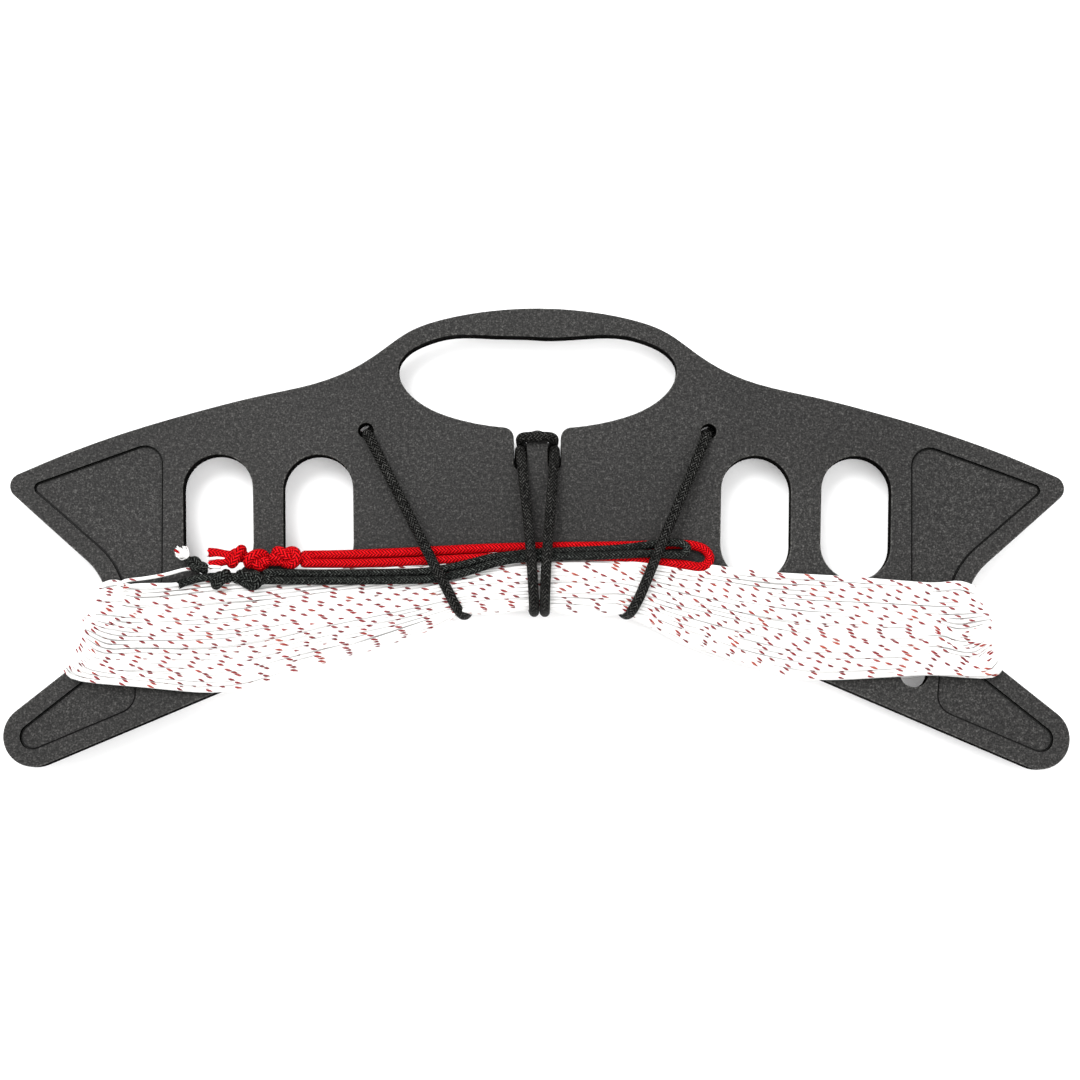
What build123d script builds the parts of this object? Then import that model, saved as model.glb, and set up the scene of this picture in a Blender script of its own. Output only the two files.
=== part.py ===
from build123d import *
import os
import math

# Hand-held winder for a pair of kite lines, lying face up.
# +Z up, +X to the right, +Y towards the grip. Origin: bottom centre of the
# whole object's box. Millimetres.

# ---------------------------------------------------------------- dimensions
PLATE_BACK = 5.0          # underside of the moulded plate
PLATE_T = 5.0             # plate thickness
PLATE_FRONT = PLATE_BACK + PLATE_T
EDGE_R = 0.5              # moulded edge radius
POCKET_DEPTH = 0.9        # recessed panels on the four arms
GROOVE_W = 0.5            # channel round the foot of each panel's wall
GROOVE_DEPTH = 0.45

# outline of the right half (the left half is its mirror image)
TOP_POINTS = [(0, 60.97), (12.8, 60.2), (25.5, 57.83), (34.0, 54.65), (42.4, 48.65),
              (50.9, 43.5), (59.3, 40.35), (72.0, 37.4), (88.8, 33.1), (105.6, 28.1),
              (122.3, 22.1), (130.6, 18.6)]
TOP_END_ANGLE = -23.9
TIP_R = 3.4               # pointed upper arm
NOTCH_VERTEX = (102.76, -20.27)
NOTCH_R = 16.8            # bottom of the line notch
ARM_R = 8.1               # rounded end of the lower arm
ARM_VERTEX = (180.55, -83.04)
ARCH_VERTEX_Y = -5.94
ARCH_R = 90.0

SLOT_W = 18.3             # finger slots
SLOT_L = 32.8
SLOTS = [(57.4, 4.85, 1.4), (83.7, 4.85, 2.0)]   # centre and outward lean

CORD_HOLE = (45.26, 27.78, 2.0)
ANCHOR_HOLE = (98.1, -35.9, 3.65)

BAY_HALF = 6.2            # bay below the grip opening that holds the hook tongue
BAY_BOTTOM = 17.5
TONGUE_HALF = 2.85
TONGUE_TIP = 28.0
SHOULDER_R = 2.9

ELASTIC_D = 2.7
RED_D = 2.4
BLACK_D = 2.1
LINE_D = 0.95

WIND_TOP = 14.8           # front face of the wound line
WIND_BOTTOM = 0.0
WIND_STEP = 12.0          # where the outer layers step in
CROWN_IN = 3.4


# ---------------------------------------------------------------- helpers
def export(shape, name):
    shape.label = name
    export_step(shape, f"parts/{name}.step")


def corner_radii(points):
    pts = [Vector(*p) for p in points]
    radii = []
    for a, b, c in zip(pts, pts[1:], pts[2:]):
        u, v = b - a, c - b
        half = math.radians(u.get_angle(v)) / 2
        radii.append(0.45 * min(u.length, v.length) / math.tan(half))
    return radii


def tube(name, points, diameter):
    """A cord along straight runs joined by tangent arcs."""
    radii = corner_radii(points)
    path = FilletPolyline(*points, radius=radii)
    start = Plane(origin=path @ 0, z_dir=path % 0)
    solid = sweep(start * Circle(diameter / 2), path=path)
    want = math.pi * (diameter / 2) ** 2 * path.length
    print(f"{name}: length {path.length:.1f} volume ratio {solid.volume / want:.4f} "
          f"radii {[round(r, 1) for r in radii]}")
    return solid


def blob(centre, radii, turn=0.0):
    """The plain outer shape of a pulled-tight knot."""
    return Pos(*centre) * Rot(0, 0, turn) * scale(Sphere(1.0), by=radii)


def line_meet(p, ang_p, q, ang_q):
    """Where the line through p at ang_p meets the line through q at ang_q."""
    ax, ay = math.cos(math.radians(ang_p)), math.sin(math.radians(ang_p))
    bx, by = math.cos(math.radians(ang_q)), math.sin(math.radians(ang_q))
    t = ((q[0] - p[0]) * by - (q[1] - p[1]) * bx) / (ax * by - ay * bx)
    return (p[0] + t * ax, p[1] + t * ay)


def at(face, x, y, tol=0.6):
    return [v for v in face.vertices() if abs(v.X - x) < tol and abs(v.Y - y) < tol]


# ---------------------------------------------------------------- plate
def plate_outline():
    end = TOP_POINTS[-1]
    tip = line_meet(end, TOP_END_ANGLE, (135.87, 8.77), 41.2)
    right = [end, tip, NOTCH_VERTEX, ARM_VERTEX, (0, ARCH_VERTEX_Y)]
    left = [(-x, y) for x, y in reversed(right[:-1])]
    tan = (math.cos(math.radians(TOP_END_ANGLE)), math.sin(math.radians(TOP_END_ANGLE)))
    across = [(-x, y) for x, y in reversed(TOP_POINTS[1:])] + TOP_POINTS
    top = Spline(*across, tangents=[(tan[0], -tan[1]), tan])
    rest = Polyline(*(right + left))
    face = make_face([top.edges()[0]] + rest.edges())
    for (x, y), r in ((tip, TIP_R), (NOTCH_VERTEX, NOTCH_R), (ARM_VERTEX, ARM_R)):
        for s in (1, -1):
            face = fillet(at(face, s * x, y), r)
    face = fillet(at(face, 0, ARCH_VERTEX_Y), ARCH_R)
    return face


GRIP_HALF = [(0, 53.1), (12.0, 53.45), (23.6, 53.35), (29.6, 51.6), (34.2, 49.0),
             (36.75, 45.2), (36.4, 41.6), (33.6, 37.35), (28.3, 33.6), (20.5, 30.75),
             (12.0, 29.1), (0, 28.5)]


def grip_opening():
    """Opening for four fingers, with the bay for the hook tongue below it."""
    left = [(-x, y) for x, y in reversed(GRIP_HALF[1:-1])]
    ring = Spline(*(GRIP_HALF + left), periodic=True)
    face = make_face(ring.edges())
    bay = Pos(0, (BAY_BOTTOM + 32) / 2) * Rectangle(2 * BAY_HALF, 32 - BAY_BOTTOM)
    both = (face + bay).face()
    corners = [v for v in both.vertices() if abs(abs(v.X) - BAY_HALF) < 0.01 and v.Y > 20]
    both = fillet(corners, SHOULDER_R)
    tongue = Pos(0, (TONGUE_TIP - TONGUE_HALF + 10) / 2) * Rectangle(
        2 * TONGUE_HALF, TONGUE_TIP - TONGUE_HALF - 10)
    tongue = tongue + Pos(0, TONGUE_TIP - TONGUE_HALF) * Circle(TONGUE_HALF)
    both = both - tongue
    low = [v for v in both.vertices() if abs(v.Y - BAY_BOTTOM) < 0.01]
    return fillet(low, 1.5)


def upper_pocket():
    c, r = (128.85, -19.75), NOTCH_R + 4.65
    pt = lambda a: (c[0] + r * math.cos(math.radians(a)), c[1] + r * math.sin(math.radians(a)))
    a, b, d = (98.6, 25.7), (133.85, 12.75), (97.7, -15.0)
    t, m, e = pt(131.2), pt(150), pt(167.2)
    face = make_face([Line(a, b), Line(b, t), ThreePointArc(t, m, e), Line(e, d), Line(d, a)])
    face = fillet(at(face, *a), 5.0)
    face = fillet(at(face, *b), 1.7)
    face = fillet(at(face, *d), 3.5)
    return fillet(at(face, *e), 2.0)


def lower_pocket():
    c, r = (128.85, -19.75), NOTCH_R + 4.65
    pt = lambda a: (c[0] + r * math.cos(math.radians(a)), c[1] + r * math.sin(math.radians(a)))
    k = (130.24, -52.85)
    p1 = (k[0] + 3.45 * 0.628, k[1] + 3.45 * 0.778)
    p2 = (k[0] + 3.45 * math.cos(math.radians(-20)), k[1] + 3.45 * math.sin(math.radians(-20)))
    p3 = (k[0] - 3.45 * 0.392, k[1] - 3.45 * 0.920)
    g, h = (103.5, -45.2), (105.0, -31.0)
    e, m, t = pt(211.6), pt(221), pt(231.1)
    face = make_face([Line(t, p1), ThreePointArc(p1, p2, p3), Line(p3, g), Line(g, h), Line(h, e),
                      ThreePointArc(e, m, t)])
    face = fillet(at(face, *g), 5.5)
    return fillet(at(face, *h), 3.0)


def both_sides(shape):
    return shape + mirror(shape, about=Plane.YZ)


def make_plate():
    face = plate_outline()
    cuts = grip_opening()
    holes = []
    for x, y, lean in SLOTS:
        for s in (1, -1):
            holes.append(Pos(s * x, y) * SlotOverall(SLOT_L, SLOT_W, rotation=90 - s * lean))
    for s in (1, -1):
        holes.append(Pos(s * CORD_HOLE[0], CORD_HOLE[1]) * Circle(CORD_HOLE[2]))
        holes.append(Pos(s * ANCHOR_HOLE[0], ANCHOR_HOLE[1]) * Circle(ANCHOR_HOLE[2]))
    face = face - cuts
    for h in holes:
        face = face - h
    body = extrude(Pos(0, 0, PLATE_BACK) * face, amount=PLATE_T)
    rims = [e for e in body.edges()
            if abs(e.bounding_box().min.Z - e.bounding_box().max.Z) < 1e-6]
    body = fillet(rims, EDGE_R)
    for pocket in (upper_pocket(), lower_pocket()):
        for s in (1, -1):
            p = pocket if s == 1 else mirror(pocket, about=Plane.YZ)
            body = body - extrude(Pos(0, 0, PLATE_FRONT - POCKET_DEPTH) * p, amount=3, dir=(0, 0, 1))
            body = body - extrude(Pos(0, 0, PLATE_BACK - 3 + POCKET_DEPTH) * p, amount=3, dir=(0, 0, 1))
            rim = p - offset(p, amount=-GROOVE_W)
            body = body - extrude(Pos(0, 0, PLATE_FRONT - POCKET_DEPTH - GROOVE_DEPTH) * rim,
                                  amount=1, dir=(0, 0, 1))
    return body


# ---------------------------------------------------------------- wound line
WIND_OUTLINE = [
    (-113.2, -13.1), (-114.6, -17.6), (-116.3, -20.0), (-119.0, -24.5), (-121.5, -29.3),
    (-122.3, -36.3), (-120.1, -38.1), (-111.8, -39.1), (-103.5, -40.2), (-95.2, -40.9),
    (-87.0, -41.7), (-81.3, -41.9), (-76.6, -40.9), (-61.2, -35.6), (-43.2, -30.4),
    (-30.0, -26.2), (-16.8, -21.9), (0.8, -20.7), (22.9, -20.7), (29.4, -23.7),
    (37.1, -27.6), (57.8, -34.8), (70.7, -38.1), (78.5, -37.9), (95.0, -36.9),
    (107.5, -36.3), (119.9, -35.4), (120.0, -32.8), (119.1, -29.2), (119.2, -23.0),
    (118.0, -19.6), (116.0, -15.2), (114.3, -12.6), (99.7, -11.6), (74.8, -10.4),
    (58.1, -9.6), (46.7, -8.0), (30.0, -6.2), (16.4, -4.8), (0.8, -4.2),
    (-14.8, -5.0), (-35.7, -7.5), (-47.9, -8.9), (-65.6, -10.5), (-91.1, -12.2)]


def crown_outline():
    """The upper layers of the winding, set in from its edges."""
    first_top = WIND_OUTLINE.index((114.3, -12.6))
    pts = []
    for i, (x, y) in enumerate(WIND_OUTLINE):
        if i >= first_top:
            y -= CROWN_IN
        elif y < -20.5:
            y += 1.2
        pts.append((x * 0.982, y))
    pts[0] = (-111.2, -13.1 - CROWN_IN)
    return pts


def make_winding():
    """The wound line, in its front, its back, the turns at each notch and the part below the arch."""
    face = make_face(Polyline(*WIND_OUTLINE, close=True).edges())
    body = extrude(Pos(0, 0, WIND_BOTTOM) * face, amount=WIND_STEP - WIND_BOTTOM)
    rims = [e for e in body.edges() if e.bounding_box().max.Z < WIND_BOTTOM + 0.01]
    body = chamfer(rims, 1.6)
    upper = make_face(Polyline(*crown_outline(), close=True).edges())
    crown = extrude(Pos(0, 0, WIND_STEP - 0.5) * upper, amount=WIND_TOP - WIND_STEP + 0.5)
    rims = [e for e in crown.edges() if e.bounding_box().min.Z > WIND_TOP - 0.01]
    body = body + chamfer(rims, 1.2)
    # the squeezed waist, where the elastic runs across the back
    body = body - Pos(0, -12, 0.7) * Box(56, 60, 1.8)
    hull = extrude(Pos(0, 0, PLATE_BACK) * plate_outline(), amount=PLATE_T)

    def slab(z0, z1):
        return body & (Pos(0, 0, (z0 + z1) / 2) * Box(400, 200, z1 - z0))

    def largest(shape):
        return max(shape.solids(), key=lambda s: s.volume)

    between = (slab(PLATE_BACK, PLATE_FRONT) - hull).solids()
    ends = {}
    for name, inside in (("turns_left", lambda x: x < -90), ("turns_right", lambda x: x > 90),
                         ("under_arch", lambda x: abs(x) <= 90)):
        ends[name] = max((s for s in between if inside(s.center().X)), key=lambda s: s.volume)
    return {"front": largest(slab(PLATE_FRONT, 30)), "back": largest(slab(-10, PLATE_BACK)), **ends}


# ---------------------------------------------------------------- elastic cord
HX, HY = CORD_HOLE[0], CORD_HOLE[1]
# knot behind the hole, through the hole, across the front, round the waist, up the
# back, through a slit, down the front again, round the waist and up to the slit's foot
ELASTIC_LEFT = [
    (-HX + 0.25, HY - 0.55, 4.4), (-HX + 0.25, HY - 0.55, 9.7), (-HX + 1.15, HY - 2.3, 11.7),
    (-37.7, 13.2, 13.1), (-26.4, -9.0, 15.9), (-23.0, -15.2, 15.7), (-20.8, -19.7, 13.2),
    (-19.2, -21.2, 9.4), (-18.2, -20.2, 5.0), (-17.2, -16.8, 2.2), (-14.8, -10.0, 1.5),
    (-9.2, 3.5, 1.9), (-5.8, 13.0, 3.2), (-5.0, 19.4, 3.55), (-4.62, 22.8, 5.2),
    (-4.55, 22.9, 9.3), (-4.3, 20.9, 11.45), (-2.85, 8.5, 13.6), (-1.55, -5.2, 16.05),
    (-1.15, -11.0, 16.1), (-0.75, -17.2, 15.0), (-0.68, -20.0, 11.6), (-0.68, -20.1, 6.6),
    (-1.33, -17.6, 2.6), (-1.6, -12.0, 1.5), (-2.4, 4.0, 1.4), (-3.1, 18.8, 1.5)]
ELASTIC_RIGHT = [
    (HX - 0.25, HY - 0.55, 4.4), (HX - 0.25, HY - 0.55, 9.7), (HX - 1.05, HY - 2.3, 11.7),
    (40.0, 15.2, 13.1), (31.0, -6.0, 15.9), (27.3, -15.2, 15.7), (25.2, -19.5, 13.3),
    (23.8, -21.0, 9.6), (22.6, -20.0, 5.2), (21.0, -16.6, 2.2), (17.6, -9.5, 1.5),
    (10.6, 4.0, 1.9), (6.2, 13.0, 3.2), (5.1, 19.4, 3.55), (4.66, 22.8, 5.2),
    (4.6, 22.9, 9.3), (4.55, 20.9, 11.45), (3.65, 8.5, 13.6), (2.6, -5.2, 16.05),
    (2.3, -11.0, 16.1), (2.1, -17.2, 15.0), (2.1, -20.0, 11.6), (2.1, -20.1, 6.6),
    (1.8, -17.6, 2.6), (1.95, -12.0, 1.5), (2.6, 4.0, 1.4), (3.2, 18.8, 1.5)]
# the last stretch from the slit's foot to the loop over the tongue, one on each side
RETURN_LEFT = [(-3.1, 18.8, 1.5), (-3.5, 22.7, 1.62), (-4.36, 25.85, 3.1), (-4.36, 25.85, 6.55)]
RETURN_RIGHT = [(3.2, 18.8, 1.5), (3.55, 22.7, 1.62), (4.36, 25.85, 3.1), (4.36, 25.85, 6.55)]
# the loop itself, across the front of the tongue
HOOK_LOOP = [(-4.36, 25.85, 6.6), (-4.36, 25.85, 9.9), (-2.7, 25.9, 11.5), (2.7, 25.95, 11.5),
             (4.36, 25.85, 9.9), (4.36, 25.85, 6.6)]

# ---------------------------------------------------------------- leaders
RED_LEADER = [
    (-60.6, -5.7, 12.0), (-51.4, -5.5, 11.7), (-41.0, -5.1, 11.35), (-30.5, -4.6, 11.25),
    (-20.1, -4.0, 11.25), (-9.6, -3.5, 11.3), (0.8, -3.25, 11.3), (11.2, -3.1, 11.3),
    (21.7, -3.0, 11.3), (31.6, -2.7, 11.3), (38.9, -2.45, 11.4), (43.5, -3.3, 11.5),
    (45.6, -6.2, 11.8), (43.4, -8.95, 12.6), (38.3, -8.05, 13.1), (32.8, -7.35, 12.9),
    (24.8, -6.5, 12.3), (14.0, -5.8, 11.9), (3.0, -5.72, 11.8), (-8.0, -5.95, 11.8),
    (-18.5, -6.5, 11.8), (-29.0, -7.15, 12.0), (-39.5, -7.65, 12.2), (-50.0, -7.95, 12.4),
    (-60.6, -7.9, 12.6)]
BLACK_LEADER = [
    (-70.2, -10.5, 13.6), (-61.6, -10.65, 13.6), (-51.1, -10.6, 13.6), (-39.6, -10.45, 13.5),
    (-30.0, -10.25, 13.4), (-24.9, -9.9, 13.35), (-20.6, -9.25, 13.25), (-16.0, -8.1, 13.15),
    (-11.3, -6.7, 13.0), (-6.5, -5.65, 12.9), (-1.8, -5.0, 12.9), (6.0, -4.6, 12.9),
    (14.5, -4.3, 12.95), (22.0, -3.9, 13.1), (28.5, -3.0, 13.35), (34.5, -2.25, 13.7),
    (38.2, -2.6, 13.9), (39.4, -4.1, 14.0), (38.3, -5.65, 14.2), (35.3, -5.75, 14.3), (30.0, -5.2, 14.3),
    (21.0, -5.75, 14.3), (11.0, -6.2, 14.3), (4.0, -6.3, 14.3), (-1.8, -6.65, 14.28),
    (-6.5, -7.35, 14.25), (-11.25, -8.5, 14.2), (-16.0, -10.05, 14.2), (-20.7, -11.35, 14.15),
    (-25.6, -12.1, 14.15), (-32.0, -12.4, 14.2), (-41.0, -12.55, 14.2), (-51.0, -12.65, 14.2),
    (-61.5, -12.7, 14.2), (-70.2, -12.6, 14.2)]
RED_KNOTS = [((-65.4, -6.6, 13.1), (4.2, 3.1, 2.9), 10), ((-73.0, -7.3, 13.0), (3.3, 2.8, 2.8), -20),
             ((-79.0, -6.3, 12.8), (2.9, 2.6, 2.6), 15)]
RED_TAILS = [[(-80.8, -5.9, 12.9), (-84.0, -5.1, 12.9), (-86.4, -5.2, 12.7)],
             [(-80.8, -7.3, 12.9), (-83.8, -8.2, 12.9), (-86.2, -8.6, 12.8)]]
BLACK_KNOTS = [((-75.3, -11.7, 14.0), (4.3, 2.8, 2.6), -8), ((-82.9, -11.6, 13.9), (2.9, 2.8, 2.5), 0)]
BLACK_STOPPER = ((-89.6, -8.1, 13.1), (3.5, 2.2, 2.2), -40)
BLACK_TAIL = [(-84.6, -11.6, 13.9), (-88.2, -12.2, 13.8), (-91.4, -13.1, 13.9), (-94.0, -13.8, 14.0)]
LEAD_A = [(-108.0, -12.6, 13.2), (-102.5, -12.2, 13.2), (-96.0, -11.0, 13.3), (-91.4, -9.5, 13.2)]
LEAD_B = [(-106.5, -14.1, 14.0), (-102.0, -13.9, 14.4), (-97.5, -13.8, 14.4), (-94.0, -13.8, 14.05)]
FRAY = [(-91.2, -6.9, 13.2), (-92.6, -5.7, 13.1), (-93.6, -5.2, 12.9)]

# ---------------------------------------------------------------- build
os.makedirs("parts", exist_ok=True)
export(make_plate(), "winder_plate")
for region, solid in make_winding().items():
    export(solid, f"line_winding_{region}")

export(tube("elastic_left", ELASTIC_LEFT, ELASTIC_D), "elastic_left")
export(tube("elastic_right", ELASTIC_RIGHT, ELASTIC_D), "elastic_right")
export(tube("elastic_return_left", RETURN_LEFT, ELASTIC_D), "elastic_return_left")
export(tube("elastic_return_right", RETURN_RIGHT, ELASTIC_D), "elastic_return_right")
export(tube("elastic_hook_loop", HOOK_LOOP, ELASTIC_D), "elastic_hook_loop")
export(blob((-HX, HY, 2.45), (3.5, 3.2, 2.45), 25), "elastic_knot_left")
export(blob((HX, HY, 2.45), (3.5, 3.2, 2.45), -25), "elastic_knot_right")

export(tube("red_leader", RED_LEADER, RED_D), "red_leader")
for (c, r, a), name in zip(RED_KNOTS, ("inner", "middle", "end")):
    export(blob(c, r, a), f"red_leader_knot_{name}")
export(tube("red_tail_upper", RED_TAILS[0], RED_D - 0.2), "red_leader_tail_upper")
export(tube("red_tail_lower", RED_TAILS[1], RED_D - 0.2), "red_leader_tail_lower")

export(tube("black_leader", BLACK_LEADER, BLACK_D), "black_leader")
for (c, r, a), name in zip(BLACK_KNOTS, ("inner", "end")):
    export(blob(c, r, a), f"black_leader_knot_{name}")
export(tube("black_tail", BLACK_TAIL, BLACK_D), "black_leader_tail")
export(blob(*BLACK_STOPPER), "line_stopper_knot")

export(tube("lead_a", LEAD_A, LINE_D), "flying_line_lead_upper")
export(tube("lead_b", LEAD_B, LINE_D), "flying_line_lead_lower")
export(tube("fray", FRAY, 1.6), "flying_line_frayed_end")
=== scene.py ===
import bpy
import math
import numpy as np
from mathutils import Matrix, Vector


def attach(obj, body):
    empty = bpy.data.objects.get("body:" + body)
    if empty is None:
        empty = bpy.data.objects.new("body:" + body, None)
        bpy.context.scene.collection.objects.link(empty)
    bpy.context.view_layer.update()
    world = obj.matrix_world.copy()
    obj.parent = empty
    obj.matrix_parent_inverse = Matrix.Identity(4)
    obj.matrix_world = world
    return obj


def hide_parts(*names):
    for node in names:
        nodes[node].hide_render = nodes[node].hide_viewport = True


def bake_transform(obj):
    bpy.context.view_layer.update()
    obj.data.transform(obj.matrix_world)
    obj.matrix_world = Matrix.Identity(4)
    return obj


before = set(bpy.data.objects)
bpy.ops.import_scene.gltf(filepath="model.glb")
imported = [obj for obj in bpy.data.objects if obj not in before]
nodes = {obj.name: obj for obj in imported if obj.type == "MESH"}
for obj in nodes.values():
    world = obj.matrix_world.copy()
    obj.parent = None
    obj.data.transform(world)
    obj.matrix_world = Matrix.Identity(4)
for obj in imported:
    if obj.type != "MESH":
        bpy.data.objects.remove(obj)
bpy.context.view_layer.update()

# ------------------------------------------------------------------ routes, in metres
WIND_OUTLINE = [
    (-0.1132, -0.0131), (-0.1146, -0.0176), (-0.1163, -0.02), (-0.119, -0.0245),
    (-0.1215, -0.0293), (-0.1223, -0.0363), (-0.1201, -0.0381), (-0.1118, -0.0391),
    (-0.1035, -0.0402), (-0.0952, -0.0409), (-0.087, -0.0417), (-0.0813, -0.0419),
    (-0.0766, -0.0409), (-0.0612, -0.0356), (-0.0432, -0.0304), (-0.03, -0.0262),
    (-0.0168, -0.0219), (0.0008, -0.0207), (0.0229, -0.0207), (0.0294, -0.0237), (0.0371, -0.0276),
    (0.0578, -0.0348), (0.0707, -0.0381), (0.0785, -0.0379), (0.095, -0.0369), (0.1075, -0.0363),
    (0.1199, -0.0354), (0.12, -0.0328), (0.1191, -0.0292), (0.1192, -0.023), (0.118, -0.0196),
    (0.116, -0.0152), (0.1143, -0.0126), (0.0997, -0.0116), (0.0748, -0.0104), (0.0581, -0.0096),
    (0.0467, -0.008), (0.03, -0.0062), (0.0164, -0.0048), (0.0008, -0.0042), (-0.0148, -0.005),
    (-0.0357, -0.0075), (-0.0479, -0.0089), (-0.0656, -0.0105), (-0.0911, -0.0122)]
ELASTIC_LEFT = [
    (-0.04501, 0.02723, 0.0044), (-0.04501, 0.02723, 0.0097), (-0.04411, 0.02548, 0.0117),
    (-0.0377, 0.0132, 0.0131), (-0.0264, -0.009, 0.0159), (-0.023, -0.0152, 0.0157),
    (-0.0208, -0.0197, 0.0132), (-0.0192, -0.0212, 0.0094), (-0.0182, -0.0202, 0.005),
    (-0.0172, -0.0168, 0.0022), (-0.0148, -0.01, 0.0015), (-0.0092, 0.0035, 0.0019),
    (-0.0058, 0.013, 0.0032), (-0.005, 0.0194, 0.00355), (-0.00462, 0.0228, 0.0052),
    (-0.00455, 0.0229, 0.0093), (-0.0043, 0.0209, 0.01145), (-0.00285, 0.0085, 0.0136),
    (-0.00155, -0.0052, 0.01605), (-0.00115, -0.011, 0.0161), (-0.00075, -0.0172, 0.015),
    (-0.00068, -0.02, 0.0116), (-0.00068, -0.0201, 0.0066), (-0.00133, -0.0176, 0.0026),
    (-0.0016, -0.012, 0.0015), (-0.0024, 0.004, 0.0014), (-0.0031, 0.0188, 0.0015)]
ELASTIC_RIGHT = [
    (0.04501, 0.02723, 0.0044), (0.04501, 0.02723, 0.0097), (0.04421, 0.02548, 0.0117),
    (0.04, 0.0152, 0.0131), (0.031, -0.006, 0.0159), (0.0273, -0.0152, 0.0157),
    (0.0252, -0.0195, 0.0133), (0.0238, -0.021, 0.0096), (0.0226, -0.02, 0.0052),
    (0.021, -0.0166, 0.0022), (0.0176, -0.0095, 0.0015), (0.0106, 0.004, 0.0019),
    (0.0062, 0.013, 0.0032), (0.0051, 0.0194, 0.00355), (0.00466, 0.0228, 0.0052),
    (0.0046, 0.0229, 0.0093), (0.00455, 0.0209, 0.01145), (0.00365, 0.0085, 0.0136),
    (0.0026, -0.0052, 0.01605), (0.0023, -0.011, 0.0161), (0.0021, -0.0172, 0.015),
    (0.0021, -0.02, 0.0116), (0.0021, -0.0201, 0.0066), (0.0018, -0.0176, 0.0026),
    (0.00195, -0.012, 0.0015), (0.0026, 0.004, 0.0014), (0.0032, 0.0188, 0.0015)]
RETURN_LEFT = [
    (-0.0031, 0.0188, 0.0015), (-0.0035, 0.0227, 0.00162), (-0.00436, 0.02585, 0.0031),
    (-0.00436, 0.02585, 0.00655)]
RETURN_RIGHT = [
    (0.0032, 0.0188, 0.0015), (0.00355, 0.0227, 0.00162), (0.00436, 0.02585, 0.0031),
    (0.00436, 0.02585, 0.00655)]
HOOK_LOOP = [
    (-0.00436, 0.02585, 0.0066), (-0.00436, 0.02585, 0.0099), (-0.0027, 0.0259, 0.0115),
    (0.0027, 0.02595, 0.0115), (0.00436, 0.02585, 0.0099), (0.00436, 0.02585, 0.0066)]
RED_LEADER = [
    (-0.0606, -0.0057, 0.012), (-0.0514, -0.0055, 0.0117), (-0.041, -0.0051, 0.01135),
    (-0.0305, -0.0046, 0.01125), (-0.0201, -0.004, 0.01125), (-0.0096, -0.0035, 0.0113),
    (0.0008, -0.00325, 0.0113), (0.0112, -0.0031, 0.0113), (0.0217, -0.003, 0.0113),
    (0.0316, -0.0027, 0.0113), (0.0389, -0.00245, 0.0114), (0.0435, -0.0033, 0.0115),
    (0.0456, -0.0062, 0.0118), (0.0434, -0.00895, 0.0126), (0.0383, -0.00805, 0.0131),
    (0.0328, -0.00735, 0.0129), (0.0248, -0.0065, 0.0123), (0.014, -0.0058, 0.0119),
    (0.003, -0.00572, 0.0118), (-0.008, -0.00595, 0.0118), (-0.0185, -0.0065, 0.0118),
    (-0.029, -0.00715, 0.012), (-0.0395, -0.00765, 0.0122), (-0.05, -0.00795, 0.0124),
    (-0.0606, -0.0079, 0.0126)]
BLACK_LEADER = [
    (-0.0702, -0.0105, 0.0136), (-0.0616, -0.01065, 0.0136), (-0.0511, -0.0106, 0.0136),
    (-0.0396, -0.01045, 0.0135), (-0.03, -0.01025, 0.0134), (-0.0249, -0.0099, 0.01335),
    (-0.0206, -0.00925, 0.01325), (-0.016, -0.0081, 0.01315), (-0.0113, -0.0067, 0.013),
    (-0.0065, -0.00565, 0.0129), (-0.0018, -0.005, 0.0129), (0.006, -0.0046, 0.0129),
    (0.0145, -0.0043, 0.01295), (0.022, -0.0039, 0.0131), (0.0285, -0.003, 0.01335),
    (0.0345, -0.00225, 0.0137), (0.0382, -0.0026, 0.0139), (0.0394, -0.0041, 0.014),
    (0.0383, -0.00565, 0.0142), (0.0353, -0.00575, 0.0143), (0.03, -0.0052, 0.0143),
    (0.021, -0.00575, 0.0143), (0.011, -0.0062, 0.0143), (0.004, -0.0063, 0.0143),
    (-0.0018, -0.00665, 0.01428), (-0.0065, -0.00735, 0.01425), (-0.01125, -0.0085, 0.0142),
    (-0.016, -0.01005, 0.0142), (-0.0207, -0.01135, 0.01415), (-0.0256, -0.0121, 0.01415),
    (-0.032, -0.0124, 0.0142), (-0.041, -0.01255, 0.0142), (-0.051, -0.01265, 0.0142),
    (-0.0615, -0.0127, 0.0142), (-0.0702, -0.0126, 0.0142)]
RED_TAIL_UPPER = [(-0.0808, -0.0059, 0.0129), (-0.084, -0.0051, 0.0129), (-0.0864, -0.0052, 0.0127)]
RED_TAIL_LOWER = [(-0.0808, -0.0073, 0.0129), (-0.0838, -0.0082, 0.0129), (-0.0862, -0.0086, 0.0128)]
BLACK_TAIL = [
    (-0.0846, -0.0116, 0.0139), (-0.0882, -0.0122, 0.0138), (-0.0914, -0.0131, 0.0139),
    (-0.094, -0.0138, 0.014)]
LEAD_A = [
    (-0.108, -0.0126, 0.0132), (-0.1025, -0.0122, 0.0132), (-0.096, -0.011, 0.0133),
    (-0.0914, -0.0095, 0.0132)]
LEAD_B = [
    (-0.1065, -0.0141, 0.014), (-0.102, -0.0139, 0.0144), (-0.0975, -0.0138, 0.0144),
    (-0.094, -0.0138, 0.01405)]
FRAY = [
    (-0.0912, -0.0069, 0.0132), (-0.0926, -0.0057, 0.0131), (-0.0936, -0.0052, 0.0129)]

ELASTIC_D = 0.0027
RED_D = 0.0024
BLACK_D = 0.0021
LINE_D = 0.00095


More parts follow.
